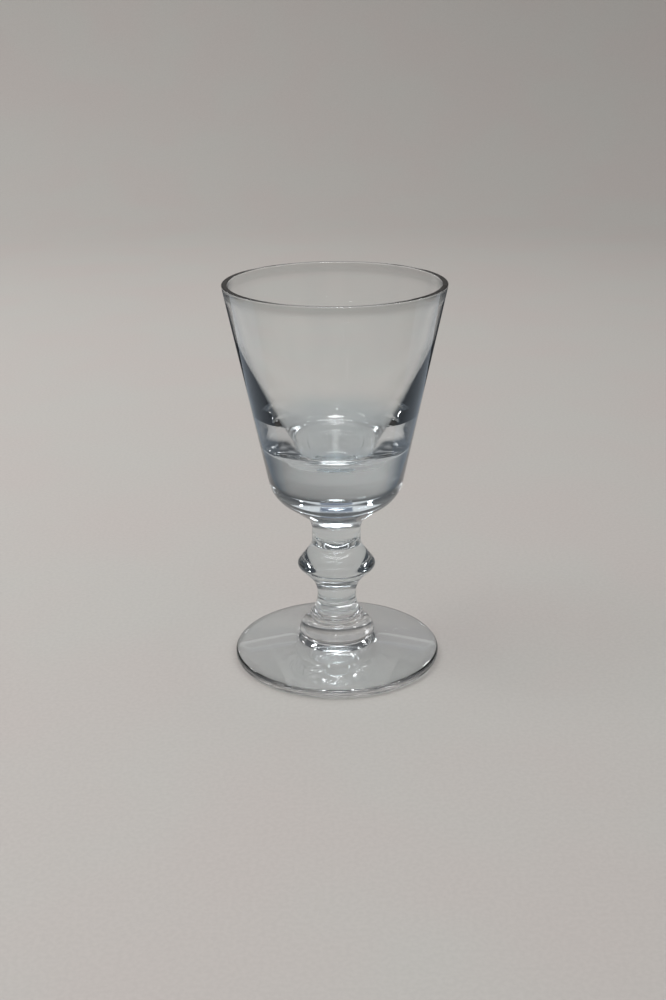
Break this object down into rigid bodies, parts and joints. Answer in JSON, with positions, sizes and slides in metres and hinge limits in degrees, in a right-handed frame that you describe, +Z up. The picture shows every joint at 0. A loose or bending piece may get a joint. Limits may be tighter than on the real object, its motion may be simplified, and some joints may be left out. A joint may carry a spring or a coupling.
{
  "type": "port glass",
  "caption": "Small port glass of clear colourless glass: conical bowl with a heavy solid base, knopped stem, bell collar and wide round foot.",
  "frame": {"origin": "centre of the ring that the foot stands on", "axes": "+Z up along the glass's axis, from the foot to the rim; X and Y lie in the table's plane"},
  "size_m": [0.061, 0.061, 0.11],
  "materials": {
    "clear_glass": "fire-polished clear glass with a faint cool grey tint"
  },
  "bodies": {
    "root": {"foot": "clear_glass", "base_collar": "clear_glass", "stem": "clear_glass", "bowl": "clear_glass"}
  },
  "joints": []
}
